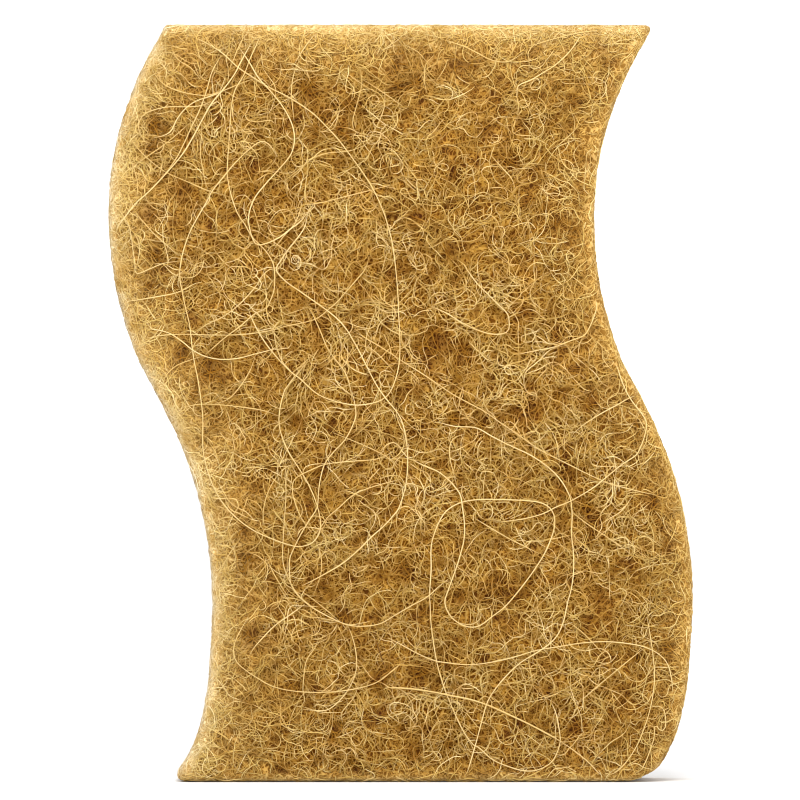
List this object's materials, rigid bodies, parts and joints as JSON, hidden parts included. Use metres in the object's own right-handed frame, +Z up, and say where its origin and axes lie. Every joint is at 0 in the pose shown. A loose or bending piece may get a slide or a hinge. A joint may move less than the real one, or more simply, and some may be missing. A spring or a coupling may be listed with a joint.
{
  "type": "fibre scrub sponge",
  "caption": "Wave-shaped household scrub sponge made as one pad of bonded, curly plant fibre, for washing dishes and surfaces.",
  "frame": {"origin": "centre of the footprint, on the surface that the sponge's short lower edge stands on", "axes": "+Z up along the sponge's length, +X across it to the right seen from the front, +Y through its thickness from the front face to the back face"},
  "size_m": [0.0874, 0.02, 0.1132],
  "materials": {
    "plant_fibre": "matt golden-tan tangle of curly plant fibres with darker gaps"
  },
  "bodies": {
    "root": {"fibre_pad": "plant_fibre"}
  },
  "joints": []
}
